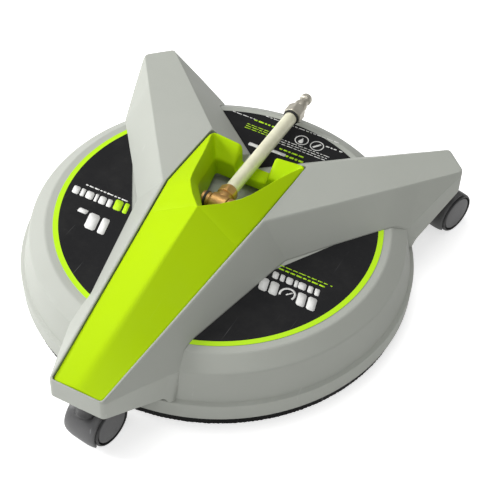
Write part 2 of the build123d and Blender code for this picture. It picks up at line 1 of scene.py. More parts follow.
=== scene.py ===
# %% [markdown]
# # A rotary surface cleaner
# The machine is a round grey deck on three casters. A three-armed frame lies over the deck,
# a lime cover fills the nose arm, and a lance of pale tube leaves a pocket in the cover.
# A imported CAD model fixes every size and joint, so this file only gives it its looks.

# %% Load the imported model
import json
import bmesh
import bpy
import numpy as np
from mathutils import Matrix, Vector

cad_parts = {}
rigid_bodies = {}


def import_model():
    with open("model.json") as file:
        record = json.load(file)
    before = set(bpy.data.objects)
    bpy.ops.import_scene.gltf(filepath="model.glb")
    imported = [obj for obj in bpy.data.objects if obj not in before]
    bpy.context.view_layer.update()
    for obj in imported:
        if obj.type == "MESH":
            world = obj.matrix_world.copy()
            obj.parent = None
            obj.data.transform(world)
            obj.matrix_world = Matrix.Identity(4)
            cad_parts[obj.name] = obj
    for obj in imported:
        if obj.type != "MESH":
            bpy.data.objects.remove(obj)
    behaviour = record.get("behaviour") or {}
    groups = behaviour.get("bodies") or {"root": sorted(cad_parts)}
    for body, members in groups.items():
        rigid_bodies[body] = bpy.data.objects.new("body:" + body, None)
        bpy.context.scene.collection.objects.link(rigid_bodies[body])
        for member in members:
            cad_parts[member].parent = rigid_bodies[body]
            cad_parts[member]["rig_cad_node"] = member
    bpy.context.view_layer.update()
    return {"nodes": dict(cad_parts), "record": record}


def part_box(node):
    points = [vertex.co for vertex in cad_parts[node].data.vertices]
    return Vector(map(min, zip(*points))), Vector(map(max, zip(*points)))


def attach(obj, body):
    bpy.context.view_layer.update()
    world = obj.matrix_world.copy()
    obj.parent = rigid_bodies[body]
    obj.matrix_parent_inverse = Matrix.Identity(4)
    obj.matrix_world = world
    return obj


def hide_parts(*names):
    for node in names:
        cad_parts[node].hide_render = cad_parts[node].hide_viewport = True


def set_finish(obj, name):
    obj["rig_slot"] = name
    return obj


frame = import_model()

scene = bpy.context.scene

# %% [markdown]
# ## One set of measures
# The machine is drawn in millimetres about the deck's own upright axis, with the nose arm
# towards -Y. That axis stands a little off the model's origin, so its place is read from the
# deck's CAD box, and one function turns millimetres into the model's metres.

# %% Place millimetre points in the model
deck_low, deck_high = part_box("deck_housing")
AXIS_Y = (deck_low.y + deck_high.y) / 2
MM = 0.001


def place(points):
    """Model point = drawn point / 1000, plus the deck axis's place along Y."""
    return np.asarray(points, float) * MM + np.array([0.0, AXIS_Y, 0.0])


print("deck axis at y =", round(AXIS_Y, 4))

# %% Measures used by several pieces
TOP_Z = 65.1          # flat top of the deck
RIM_Z = 27.8          # top of the deck's thick rim
FLANGE_Z = 10.0       # underside of the rim
PIVOT_Z = 82.5        # tilt axis of the lance
LANCE_DROP = np.radians(1.6)
WHEEL_R = 19.05
REAR_ARM = np.radians(45.9)

# %% [markdown]
# ## Surfaces as grids
# Every moulded part here is a grid of points: a function of two parameters worked out as one
# array. Rounded edges are part of that function. A net of corner points is joined by straight
# runs, and each corner is replaced by a short curve whose size is the edge's radius.


# %% Round the corners of a net
CURVE_POINTS = 5


def rounded(net, radii, axis=0):
    """Replace each inner corner P of the lines along one axis by the curve
    (1-t)^2 A + 2t(1-t) P + t^2 B, where A and B lie on the two runs, one radius from P but never
    past 45 % of the run. A radius of 0 keeps the corner as one point."""
    lines = np.moveaxis(np.asarray(net, float), axis, 0)
    rows = [lines[0]]
    t = np.linspace(0.0, 1.0, CURVE_POINTS).reshape(-1, *([1] * (lines.ndim - 1)))
    for k in range(1, len(lines) - 1):
        if radii[k] == 0:
            rows.append(lines[k])
            continue
        arms = []
        for other in (lines[k - 1], lines[k + 1]):
            reach = np.linalg.norm(other - lines[k], axis=-1, keepdims=True)
            share = np.minimum(radii[k] / np.maximum(reach, 1e-9), 0.45)
            arms.append(lines[k] + (other - lines[k]) * share)
        curve = (1 - t) ** 2 * arms[0] + 2 * t * (1 - t) * lines[k] + t ** 2 * arms[1]
        rows.extend(curve)
    rows.append(lines[-1])
    return np.moveaxis(np.array(rows), 0, axis)


# %% Turn a grid into faces
def grid_faces(rows, columns, wrap_rows=False, wrap_columns=False):
    """Corner numbers of every quad of a grid; wrapping joins the last line to the first."""
    index = np.arange(rows * columns).reshape(rows, columns)
    if wrap_rows:
        index = np.vstack([index, index[:1]])
    if wrap_columns:
        index = np.hstack([index, index[:, :1]])
    quads = [index[:-1, :-1], index[:-1, 1:], index[1:, 1:], index[1:, :-1]]
    return np.stack(quads, axis=-1).reshape(-1, 4)


def patch(grid, **wrap):
    """A grid of points as (points, faces)."""
    rows, columns = grid.shape[:2]
    return grid.reshape(-1, 3), grid_faces(rows, columns, **wrap)


def mirrored(piece):
    """The same patch on the other side of the machine: x becomes -x, faces turned back."""
    points, faces = piece
    return points * np.array([-1.0, 1.0, 1.0]), faces[:, ::-1]


# %% Solids of revolution
def turned(profile, count, radii=None, closed=False):
    """(radius, height) corners carried round Z: x = r cos a, y = r sin a, z = h.
    radii rounds the corners first; closed joins the end of the profile to its start."""
    line = np.asarray(profile, float)
    if radii is not None:
        line = rounded(line, radii)
    angle = np.linspace(0, 2 * np.pi, count, endpoint=False)
    grid = np.stack([
        line[:, :1] * np.cos(angle),
        line[:, :1] * np.sin(angle),
        line[:, 1:] + 0 * angle,
    ], axis=-1)
    return patch(grid, wrap_columns=True, wrap_rows=closed)


def moved(piece, turn=None, shift=(0, 0, 0)):
    """The patch turned by a 3x3 matrix and then shifted."""
    points, faces = piece
    if turn is not None:
        points = points @ turn.T
    return points + shift, faces


def turn_about(axis, angle):
    """3x3 matrix of a turn about X, Y or Z by an angle in radians."""
    return np.array(Matrix.Rotation(angle, 3, axis))


# %% Put patches into one Blender piece
def add_piece(name, patches, body, slot, replaced=(), wall=0.0, closed=False, even=True):
    """Join patches of drawn points into one mesh at the origin, merge its seams, point its faces
    outwards, and let it ride on a CAD body. wall gives an open shell its thickness in mm."""
    points, faces, first = [], [], 0
    for patch_points, patch_faces in patches:
        points.append(place(patch_points))
        faces += (patch_faces + first).tolist()
        first += len(patch_points)
    mesh = bpy.data.meshes.new(name)
    mesh.from_pydata(np.concatenate(points), [], faces)
    shell = bmesh.new()
    shell.from_mesh(mesh)
    bmesh.ops.remove_doubles(shell, verts=shell.verts, dist=2e-6)
    bmesh.ops.dissolve_degenerate(shell, edges=shell.edges, dist=1e-6)
    bmesh.ops.recalc_face_normals(shell, faces=shell.faces)
    if not closed:
        middle = np.mean([v.co for v in shell.verts], axis=0)
        outward = sum(
            f.normal.dot(f.calc_center_median() - Vector(middle)) * f.calc_area() for f in shell.faces
        )
        if outward < 0:
            bmesh.ops.reverse_faces(shell, faces=shell.faces)
    shell.to_mesh(mesh)
    shell.free()
    mesh.polygons.foreach_set("use_smooth", np.ones(len(mesh.polygons), bool))
    piece = bpy.data.objects.new(name, mesh)
    scene.collection.objects.link(piece)
    if wall:
        thick = piece.modifiers.new("wall", "SOLIDIFY")
        thick.thickness = wall * MM
        thick.offset = -1
        thick.use_quality_normals = True
    if even:
        even_shade = piece.modifiers.new("even_shade", "WEIGHTED_NORMAL")
        even_shade.mode = "FACE_AREA"
        even_shade.weight = 80
    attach(piece, body)
    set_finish(piece, slot)
    if replaced:
        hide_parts(*replaced)
    print(name, len(mesh.vertices), "points", len(mesh.polygons), "faces")
    return piece


# %% [markdown]
# ## The deck
# The deck is one turned shape: a well in the middle, a flat top for the labels, a sloping
# shoulder, a steep wall and a thick rim. A lathe profile with rounded corners gives all of it
# at once, and the lining follows three millimetres inside.

# %% Deck housing
deck_skin = [
    (14.4, 47.0), (14.4, 50.0), (69.2, 50.0), (71.2, TOP_Z), (147.2, TOP_Z), (161.0, 56.0),
    (167.0, RIM_Z + 0.8), (168.6, RIM_Z + 0.2), (170.5, RIM_Z - 0.6), (170.0, FLANGE_Z),
    (167.2, FLANGE_Z), (166.6, 24.6), (163.5, 25.0), (157.6, 54.0), (146.8, 62.1),
    (74.0, 62.1), (71.8, 47.0),
]
deck_round = [0, 0.6, 2.0, 1.2, 1.6, 1.6, 0.5, 0.4, 0.9, 1.0, 0.8, 1.0, 1.0, 4.0, 4.0, 2.0, 0]
add_piece("deck_shell", [turned(deck_skin, 240, deck_round, closed=True)],
          "deck", "grey_shell", ["deck_housing"], closed=True)

# %% Stiffening ribs under the deck
RIB_COUNT, FIRST_RIB = 18, 0.17


def rib_patch(angle, inner=74.0, outer=150.0, half=1.0):
    """An upright thin wall between two radii: a box whose top lies in the deck's lining."""
    foot, top = {inner: 50.0, outer: 53.0}, {inner: 62.3, outer: 58.5}
    corners = [(r, s * half, z[r]) for z in (foot, top) for r in (inner, outer) for s in (-1, 1)]
    faces = [(0, 2, 3, 1), (4, 5, 7, 6), (0, 1, 5, 4), (2, 6, 7, 3), (0, 4, 6, 2), (1, 3, 7, 5)]
    return moved((np.array(corners, float), np.array(faces)), turn_about("Z", angle))


add_piece("deck_ribs", [rib_patch(a + FIRST_RIB) for a in np.arange(RIB_COUNT) * 2 * np.pi / RIB_COUNT],
          "deck", "grey_shell", closed=True, even=False)

# %% [markdown]
# ## The frame
# The frame is a faceted shell, and every edge on it is a rounded fold. Its sections run from the
# seat of the cover, over the lip, down the slope to the foot on the deck, and down the skirt
# outside the deck. A list of sections along its outline makes the right half, and the left half
# is the same patch mirrored.

# %% Corners of the frame
TIP = np.array([23.6, -219.6, 74.1])
CREASE = np.array([48.2, -12.2, 96.4])
TIP_OUT = np.array([163.3, 147.5, 77.7])
TIP_BACK = np.array([142.0, 167.2, 78.4])
REAR_CREASE = np.array([46.9, 71.8, 91.7])
FOOT_Z = TOP_Z + 0.9
TIP_LOW = 54.5
NOSE_SHOULDER = np.array([50.6, -151.9, 55.4])
OUT_SHOULDER = np.array([142.9, 78.9, 55.4])
BACK_SHOULDER = np.array([74.3, 145.3, 55.4])
SEAT_DEPTH = 6.9


def height_on(a, b, c, xy):
    """Height at plan points of the plane through three corners."""
    normal = np.cross(b - a, c - a)
    xy = np.asarray(xy, float)
    return a[2] - ((xy[..., 0] - a[0]) * normal[0] + (xy[..., 1] - a[1]) * normal[1]) / normal[2]


def between(a, b, share):
    """The point at a share of the way from a to b."""
    return np.asarray(a, float) + (np.asarray(b, float) - np.asarray(a, float)) * share


def low(point, z):
    """The same plan point at another height."""
    return np.array([point[0], point[1], z])


# %% Sections of the frame, from the middle of the nose round to the lance notch
nose_low = low(TIP, TIP_LOW)
nose_leg = np.array([44.5, -167.0, 34.0])
out_low, out_leg = low(TIP_OUT, 55.8), np.array([147.4, 91.3, 34.6])
back_low, back_leg = low(TIP_BACK, 55.8), np.array([85.2, 148.9, 34.9])
# the straight lines that the creases and the feet of the sections lie on
NOSE_FOLD, OUT_FOLD, BACK_FOLD = (TIP, CREASE), (CREASE, TIP_OUT), (TIP_BACK, REAR_CREASE)
NOSE_FOOT, OUT_FOOT, BACK_FOOT = (TIP, NOSE_SHOULDER), (OUT_SHOULDER, TIP_OUT), (TIP_BACK, BACK_SHOULDER)
# each section: plan of the seat edge, crease, foot, bottom, and the rounding along the outline
frame_sections = [
    ((0.0, -218.1), low(TIP, 74.1) * (0, 1, 1), low(TIP, 71.6) * (0, 1, 1), nose_low * (0, 1, 1), 0),
    ((21.6, -218.1), TIP, low(TIP, 71.6), nose_low, 3.0),
    ((24.6, -190.0), between(*NOSE_FOLD, 0.14), between(*NOSE_FOOT, 0.5),
     between(nose_low, nose_leg, 0.5), 0),
    ((27.6, -165.0), between(*NOSE_FOLD, 0.26), between(*NOSE_FOOT, 0.85), nose_leg, 2.0),
    ((28.4, -158.0), between(*NOSE_FOLD, 0.30), between(*NOSE_FOOT, 0.95), (47.9, -165.2, 29.0), 1.0),
    ((29.2, -151.0), between(*NOSE_FOLD, 0.33), NOSE_SHOULDER, (51.2, -160.9, 28.6), 0),
    ((30.6, -139.0), between(*NOSE_FOLD, 0.39), (46.8, -139.0, FOOT_Z), (46.8, -139.0, 60.0), 0),
    ((32.0, -127.0), between(*NOSE_FOLD, 0.45), (47.1, -127.3, FOOT_Z), (47.1, -127.3, 63.4), 4.0),
    ((38.5, -70.0), between(*NOSE_FOLD, 0.72), (59.35, -71.6, FOOT_Z), (59.35, -71.6, 63.4), 0),
    ((45.7, -8.4), CREASE, (71.6, -15.9, FOOT_Z), (71.6, -15.9, 63.4), 1.6),
    ((46.0, 12.0), between(*OUT_FOLD, 0.33), (97.9, 19.4, FOOT_Z), (97.9, 19.4, 63.4), 0),
    ((46.2, 24.0), between(*OUT_FOLD, 0.60), (125.6, 55.0, FOOT_Z), (125.6, 55.0, 63.4), 0),
    ((46.3, 28.0), between(*OUT_FOLD, 0.69), (134.5, 66.5, FOOT_Z), (134.5, 66.5, 60.0), 0),
    ((46.3, 31.0), between(*OUT_FOLD, 0.76), OUT_SHOULDER, (143.9, 82.3, 28.6), 0),
    ((46.4, 33.0), between(*OUT_FOLD, 0.79), between(*OUT_FOOT, 0.07), (146.2, 86.6, 29.0), 1.0),
    ((46.4, 35.0), between(*OUT_FOLD, 0.82), between(*OUT_FOOT, 0.15), out_leg, 2.0),
    ((46.4, 38.0), between(*OUT_FOLD, 0.92), between(*OUT_FOOT, 0.5), between(out_leg, out_low, 0.5), 0),
    ((46.5, 41.0), TIP_OUT, low(TIP_OUT, 75.2), out_low, 5.0),
    ((46.5, 47.0), TIP_BACK, low(TIP_BACK, 75.9), back_low, 3.0),
    ((46.5, 51.0), between(*BACK_FOLD, 0.15), between(*BACK_FOOT, 0.5), between(back_low, back_leg, 0.5), 0),
    ((46.6, 54.0), between(*BACK_FOLD, 0.30), between(*BACK_FOOT, 0.85), back_leg, 2.0),
    ((46.6, 56.0), between(*BACK_FOLD, 0.35), between(*BACK_FOOT, 0.93), (81.0, 148.7, 29.0), 1.0),
    ((46.6, 58.0), between(*BACK_FOLD, 0.40), BACK_SHOULDER, (77.0, 147.3, 28.6), 0),
    ((46.6, 60.0), between(*BACK_FOLD, 0.46), (71.4, 130.0, FOOT_Z), (71.4, 130.0, 60.0), 0),
    ((46.7, 63.0), between(*BACK_FOLD, 0.55), (66.0, 125.6, FOOT_Z), (66.0, 125.6, 63.4), 0),
    ((46.7, 71.4), REAR_CREASE, (31.0, 97.5, FOOT_Z), (31.0, 97.5, 63.4), 3.5),
    ((16.3, 71.4), (16.1, 71.8, 74.7), (16.0, 84.6, FOOT_Z), (16.0, 84.6, 63.4), 0.8),
    ((15.5, 71.4), (15.5, 71.8, 64.5), (15.5, 84.6, 64.5), (15.5, 84.6, 63.0), 0),
]

# %% Frame surface
GAP = 0.4             # the recess is this much wider than the sections say
FRAME_WALL = 1.2      # thinner than the strip between the recess and the nose's front
FLANGE_BACK = 6.0     # the flange under the seat reaches this far back from the nose
TUCK_Y = [0.0, 30.0, 50.0, 63.0, 70.0]
TUCK = [0.82, 0.86, 0.91, 0.96, 1.0]   # its x as a share of the seat's, at those y
seat_plan = np.array([s[0] for s in frame_sections])
seat_plan[1:-2, 0] += GAP
seat_z = np.where(
    seat_plan[:, 1] < CREASE[1],
    height_on(TIP, TIP * (-1, 1, 1), CREASE, seat_plan),
    height_on(CREASE, TIP_OUT, TIP_BACK, seat_plan),
)
seat_z[-3:] = [section[1][2] for section in frame_sections[-3:]]   # level with the crease
seat = np.column_stack([seat_plan, seat_z])
tuck = np.interp(seat_plan[:, 1], TUCK_Y, TUCK)[:, None]
seat_bottom = seat - (0, 0, SEAT_DEPTH)
seat_inner = seat_bottom * np.hstack([tuck, np.ones_like(tuck), np.ones_like(tuck)])
seat_inner[:2, 1] += FLANGE_BACK
crease_line, foot_line, bottom_line = (np.array([s[k] for s in frame_sections], float) for k in (1, 2, 3))
frame_net = np.array([seat_inner, seat_bottom, seat, crease_line, foot_line, bottom_line])
frame_grid = rounded(frame_net, [0, 0.4, 0.7, 2.2, 0.8, 0], axis=0)
frame_grid = rounded(frame_grid, [s[4] for s in frame_sections], axis=1)
right_half = patch(frame_grid)
add_piece("frame_arms", [right_half, mirrored(right_half)], "deck", "grey_shell",
          ["frame_shell"], wall=FRAME_WALL)
# a plate closes the nose arm from below, between the inner edges of its flange
plate_edge = seat_inner[1:9]
add_piece("frame_nose_plate", [patch(np.array([plate_edge, plate_edge * (-1, 1, 1)]))],
          "deck", "grey_shell", wall=FRAME_WALL)

# %% [markdown]
# ## The lime cover
# The cover is a thin roof with a ridge, folded where the machine is highest. A pocket is sunk
# through it: a sloping bevel leads to a straight tub, and a notch lets the lance lie down.
# Each section runs from the hidden side edge over the roof to the rim of the pocket, down the
# bevel and down the tub. In front of the pocket it ends at the ridge, whose fold is soft at the
# nose and sharp at the pocket.


# %% Roof of the cover
def roof(x, y):
    """Height of the roof: a ridge line R(y) minus the slope (R - E) |x| / w, where the ridge R,
    the side edge E and the half width w are straight runs from nose to fold and fold to rear."""
    stations = [-217.5, -8.2, 71.0]
    ridge = np.interp(y, stations, [74.6, 117.9, 113.0])
    edge = np.interp(y, stations, [72.6, 95.4, 90.6])
    half = np.interp(y, stations, [21.8, 45.0, 46.1])
    return ridge - (ridge - edge) * np.abs(x) / half


def on_roof(plan):
    """Plan points lifted onto the roof."""
    plan = np.asarray(plan, float)
    return np.column_stack([plan, roof(plan[:, 0], plan[:, 1])])


# %% Lines of the cover, from the nose to the middle of the notch
REAR_Y, RIM_Y, TUB_Y = 71.0, 69.6, 56.6
COVER_WALL, EDGE_DEPTH, TUB_FOOT = 1.8, 3.9, 57.5
front_rim = [(0, -217.5), (0, -216.6), (0, -214.0), (0, -190), (0, -150.0), (0, -90.0), (0, -37.2)]
front_side = [
    (18.4, -217.5), (21.1, -216.6), (22.0, -214.0), (24.85, -190),
    (29.28, -150.0), (35.93, -90.0), (40.9, -45.0),
]
side_rim = [
    (6.5, -30.0), (12.9, -22.9), (18.5, -15.2), (23.3, -7.9), (27.1, 2.7),
    (30.7, 17.2), (34.5, 33.9), (39.6, 52.3), (43.4, 64.0),
]
side_side = [
    (42.1, -34.0), (43.1, -25.0), (44.1, -16.0), (45.0, -8.2), (45.15, 2.7),
    (45.35, 17.2), (45.6, 33.9), (45.85, 52.3), (46.0, 64.0),
]
side_throat = [
    (6.3, -18.4), (12.6, -9.4), (18.9, -0.5), (25.2, 8.5), (27.1, 18.0),
    (29.0, 27.5), (31.0, 37.6), (33.0, 47.5), (34.3, 54.0),
]


def rear_height(x):
    """Height of the cover's rear edge, which falls a little from its corner to the notch."""
    return 87.4 + (90.0 - 87.4) * (np.asarray(x, float) - 20.0) / (46.1 - 20.0)


def arm_back_height(x):
    """Height at the cover's rear edge of the frame's back slope: 74.6 at the notch, rising outwards."""
    return 74.6 + 0.552 * (np.asarray(x, float) - 15.9)


rear_x = np.array([45.4, 43.8, 40.8, 36.0, 27.0, 20.4])
notch_x = np.array([18.2, 16.6, 15.9, 15.5, 13.8, 10.5, 0.0])
notch_z = np.array([87.0, 85.0, 81.6, 69.5, 66.9, 66.2, 66.2])
throat_rear_x = np.array([34.2, 33.8, 32.8, 29.0, 25.0, 20.4])
throat_notch_z = np.array([73.6, 72.6, 71.2, 68.4, 66.7, 66.2, 66.2])

side_line = np.vstack([
    on_roof(front_side), on_roof(side_side),
    np.column_stack([rear_x, [68.4, 70.2, REAR_Y, REAR_Y, REAR_Y, REAR_Y], rear_height(rear_x)]),
    np.column_stack([notch_x, 0 * notch_x + REAR_Y, notch_z]),
])
rim_line = np.vstack([
    on_roof(front_rim), on_roof(side_rim),
    np.column_stack([
        rear_x - [1.5, 1.1, 0.4, 0, 0, 0], [67.0, 68.8, RIM_Y, RIM_Y, RIM_Y, RIM_Y], rear_height(rear_x),
    ]),
    np.column_stack([notch_x, 0 * notch_x + RIM_Y, notch_z]),
])
throat_plan = np.vstack([
    [(0, -27.4)], side_throat,
    np.column_stack([throat_rear_x, [55.4, 56.2, TUB_Y, TUB_Y, TUB_Y, TUB_Y]]),
    np.column_stack([notch_x, 0 * notch_x + TUB_Y]),
])
throat_z = np.concatenate([
    np.linspace(97, 86, 5), np.linspace(83.6, 74.6, 5), [74.2, 74.0, 74.0, 74.0, 74.0, 74.0], throat_notch_z,
])
throat_line = np.column_stack([throat_plan, throat_z])
tub_line = np.column_stack([throat_plan * 0.985 + (0, 0.3), 0 * throat_z + TUB_FOOT])
edge_line = side_line - (0, 0, EDGE_DEPTH)
REAR_COLUMNS = len(rear_x) + len(notch_x)
rear_foot = arm_back_height(side_line[-REAR_COLUMNS:, 0]) - 3.0
edge_line[-REAR_COLUMNS:, 2] = np.minimum(edge_line[-REAR_COLUMNS:, 2], rear_foot)
edge_line[-4:, 2] = TOP_Z + 0.5   # under the lance the edge comes down to the deck

# %% Cover surface
FIRST_RIM = len(front_rim) - 1
ridge_y = rim_line[:FIRST_RIM + 1, 1]
soft = np.interp(ridge_y, [ridge_y[0], ridge_y[-1]], [6.0, 0.8])   # half width of the soft fold
shoulder = on_roof(np.column_stack([soft, ridge_y]))
ridge = np.column_stack([0 * soft, ridge_y, roof(soft * 0.3, ridge_y)])
middle_z = roof(soft * 0.5, ridge_y) * 0.5 + 0.25 * (shoulder[:, 2] + ridge[:, 2])
middle_row = np.column_stack([soft * 0.5, ridge_y, middle_z])
nose_net = np.array([edge_line[:FIRST_RIM + 1], side_line[:FIRST_RIM + 1], shoulder, middle_row, ridge])
nose_grid = rounded(nose_net, [0, 1.3, 0, 0, 0], axis=0)
rim_line[FIRST_RIM, 2] = ridge[-1, 2]
half_net = np.array([
    edge_line[FIRST_RIM:], side_line[FIRST_RIM:], rim_line[FIRST_RIM:], throat_line, tub_line,
])
pocket_grid = rounded(half_net, [0, 1.3, 1.0, 2.0, 0], axis=0)
front_net = np.array([edge_line[0], side_line[0], ridge[0]])
front_face = np.array([
    [front_net[0] * (0, 1, 1), front_net[0]],
    [front_net[2] * (0, 1, 1), front_net[1]],
])
cover_half = [patch(nose_grid), patch(pocket_grid), patch(front_face)]
add_piece("nose_cover_shell", cover_half + [mirrored(p) for p in cover_half],
          "deck", "lime_cover", ["nose_cover"], wall=COVER_WALL)

# %% [markdown]
# ## Brush skirt
# A ring of stiff bristles closes the gap between the deck and the ground. Its lower edge is
# ragged, so the turned wall gets a small seeded wander in radius and in height.

# %% Bristles
chance = np.random.default_rng(7)
TUFTS = 900
angle = np.linspace(0, 2 * np.pi, TUFTS, endpoint=False)
ripple = 0.2 * np.sign(np.sin(np.arange(TUFTS) * np.pi / 1.5)) * chance.uniform(0.5, 1.0, TUFTS)
ragged = chance.uniform(0.0, 0.5, TUFTS)


def bristle_wall(radius, direction):
    """Wall of tufts: r = radius + splay + direction * ripple(a), with its foot lifted by
    ragged(a); the splay grows towards the ground, where the machine's weight bends the tips."""
    height = np.array([20.4, 12.0, 6.0, 1.0])[:, None] + np.array([0, 0, 0.2, 1.0])[:, None] * ragged
    splay = np.array([0.0, 0.2, 0.9, 2.0])[:, None]
    r = radius + splay + direction * ripple * np.array([0.3, 0.8, 1.0, 1.0])[:, None]
    return np.stack([r * np.cos(angle), r * np.sin(angle), height], axis=-1)


outer_wall, inner_wall = bristle_wall(165.3, 1.0), bristle_wall(162.4, -1.0)
bristle_grid = np.concatenate([outer_wall, inner_wall[::-1]])
add_piece("bristle_ring", [patch(bristle_grid, wrap_rows=True, wrap_columns=True)],
          "deck", "bristle", ["brush_bristles"], closed=True, even=False)

# %% [markdown]
# ## The lance
# Everything on the lance is turned about one line that leaves the pivot and drops slightly, so
# each part is a profile along that line. Hexagons are turned too: their radius changes with the
# angle, r = flat / cos(a), and the chamfer is the smaller of that and a cone.


# %% Parts along the lance's line
def along_lance(piece):
    """From an upright part to the lance: its Z axis becomes the tube's direction."""
    direction = turn_about("X", -LANCE_DROP) @ turn_about("X", -np.pi / 2)
    return moved(piece, direction, (0, 0, PIVOT_Z))


def hexagon(flat, stations):
    """Hexagonal bar along Z: at each (height, largest radius) the section is the smaller of the
    hexagon r = flat / cos(a folded into 60 degrees) and that radius, so corners are chamfered."""
    angle = np.linspace(0, 2 * np.pi, 96, endpoint=False)
    fold = (angle + np.pi / 6) % (np.pi / 3) - np.pi / 6
    height, largest = np.array(stations, float).T
    radius = np.minimum(flat / np.cos(fold), largest[:, None])
    grid = np.stack([radius * np.cos(angle), radius * np.sin(angle), height[:, None] + 0 * angle], axis=-1)
    return patch(grid, wrap_columns=True)


TUBE_END = 134.5
PLUG_START = TUBE_END + 0.6
AROUND = 64           # points round each turned part of the lance
tube_profile = [(4.2, 16.0), (6.0, 16.0), (6.0, TUBE_END - 1.4), (5.5, TUBE_END), (4.2, TUBE_END)]
add_piece("lance_pipe", [along_lance(turned(tube_profile, AROUND, [0, 0.3, 0.8, 0.5, 0], closed=True))],
          "lance", "lance_steel", ["lance_tube"], closed=True)
collar_steps = [(5.9, -1.2), (7.2, -1.2), (7.5, -0.8), (7.5, 0.0), (7.3, 0.4), (4.4, 0.4)]
collar_profile = [(radius, TUBE_END + step) for radius, step in collar_steps]
collar_round = [0, 0.3, 0.4, 0.4, 0.3, 0]
add_piece("lance_ring", [along_lance(turned(collar_profile, AROUND, collar_round, closed=True))],
          "lance", "seal_rubber", ["lance_collar"], closed=True)

# %% Quick plug at the tip
hex_steps = [(0, 3.0), (0, 7.7), (1.0, 8.9), (11.1, 8.9), (12.1, 7.6), (12.1, 3.0)]
hex_part = hexagon(7.8, [(PLUG_START + step, radius) for step, radius in hex_steps])
nose_steps = [
    (2.6, 0.0), (5.9, 0.0), (5.9, 7.7), (5.6, 8.5), (4.4, 10.3), (4.4, 14.3), (5.3, 15.1),
    (5.6, 16.0), (5.6, 18.6), (4.9, 20.6), (3.6, 22.0), (2.6, 22.2), (2.6, 4.0),
]
plug_profile = [(radius, PLUG_START + 12.0 + step) for radius, step in nose_steps]
plug_round = [0, 0, 0.4, 0.5, 0.6, 0.6, 0.4, 0.4, 0.6, 0.8, 0.4, 0.2, 0]
plug_nose = along_lance(turned(plug_profile, AROUND, plug_round, closed=True))
add_piece("coupling_plug", [along_lance(hex_part), plug_nose],
          "lance", "plug_steel", ["quick_plug"], closed=True)

# %% Brass elbow: a barrel on the tilt axis and a neck for the tube
barrel_profile = [
    (4.55, -11.2), (6.9, -11.2), (6.9, -8.6), (6.2, -8.2), (6.2, -7.6), (8.2, -7.2), (8.6, -6.4),
    (8.6, 6.6), (8.1, 7.5), (4.55, 7.5),
]
barrel_round = [0, 0.3, 0.3, 0.2, 0.2, 0.4, 0.4, 0.5, 0.3, 0]
upright_barrel = turned(barrel_profile, AROUND, barrel_round, closed=True)
barrel = moved(upright_barrel, turn_about("Y", np.pi / 2), (0, 0, PIVOT_Z))
neck_profile = [(3.0, 3.0), (8.0, 3.0), (8.1, 8.0), (7.4, 9.6), (7.4, 10.6), (3.0, 10.6)]
neck = along_lance(turned(neck_profile, AROUND, [0, 1.0, 1.5, 1.0, 0.5, 0], closed=True))
nut_steps = [(10.4, 3.0), (10.4, 7.6), (11.2, 8.5), (17.6, 8.5), (18.8, 7.4), (18.8, 6.02)]
nut = along_lance(hexagon(7.8, nut_steps))
lip_profile = [(6.02, 18.7), (6.9, 18.7), (6.7, 20.0), (6.02, 20.2)]
lip = along_lance(turned(lip_profile, AROUND, [0, 0.2, 0.3, 0], closed=True))
add_piece("brass_elbow", [barrel, neck, nut, lip], "lance", "brass", ["tilt_elbow"], closed=True)

# %% [markdown]
# ## Casters
# Each caster is a twin wheel on an axle, under a hood that shields the leading side. Each
# wheel is turned about its axle: a dark tyre with rounded edges, and a paler, slightly domed face
# set into it with a narrow groove round it. The hood is an arc swept round the axle whose radius
# falls off towards its two sides.

# %% Wheels
# each caster: name, direction of its stem from the deck's axis in radians, and the direction its
# wheels trail in, in degrees
CASTERS = (
    ("front", -np.pi / 2, 82.0),
    ("rear_right", REAR_ARM, 73.0),
    ("rear_left", np.pi - REAR_ARM, 107.0),
)
CASTER_REACH, CASTER_TRAIL = 208.0, 10.5
wheel_profile = [
    (2.6, 4.5), (18.0, 4.5), (WHEEL_R - 0.05, 5.6), (WHEEL_R - 0.05, 14.8), (18.0, 16.2), (17.0, 16.2),
    (16.6, 13.2), (0.02, 13.2),
]
wheel_round = [0, 0.8, 1.0, 1.2, 0.5, 0.2, 0.2, 0]
face_profile = [(0.02, 12.8), (15.8, 12.8), (15.6, 15.8), (9.0, 16.3), (0.02, 16.3)]
face_round = [0, 0, 0.5, 3.0, 0]
lay_down = turn_about("Y", np.pi / 2)
tyre_right = moved(turned(wheel_profile, 72, wheel_round), lay_down)
face_right = moved(turned(face_profile, 72, face_round), lay_down)
tyre_left, face_left = (moved(piece, turn_about("Z", np.pi)) for piece in (tyre_right, face_right))


def caster_frame(angle, heading):
    """Turn and shift that put a caster's own axle frame at its place on the deck."""
    turn = turn_about("Z", np.radians(heading - 90.0))
    stem = np.array([CASTER_REACH * np.cos(angle), CASTER_REACH * np.sin(angle), 0.0])
    return turn, stem + turn @ np.array([0.0, CASTER_TRAIL, WHEEL_R])


for caster, angle_at, heading in CASTERS:
    turn, spot = caster_frame(angle_at, heading)
    for side, tyre, face in (("right", tyre_right, face_right), ("left", tyre_left, face_left)):
        add_piece(f"wheel_{caster}_{side}_tyre", [moved(tyre, turn, spot)], f"wheel_{caster}_{side}",
                  "caster_wheel", [f"caster_{caster}_wheel_{side}"], closed=True)
        add_piece(f"wheel_{caster}_{side}_face", [moved(face, turn, spot)], f"wheel_{caster}_{side}",
                  "caster_hood", closed=True)

# %% Hoods
HOOD_R, HOOD_HALF, HOOD_WALL = 22.6, 15.2, 1.9


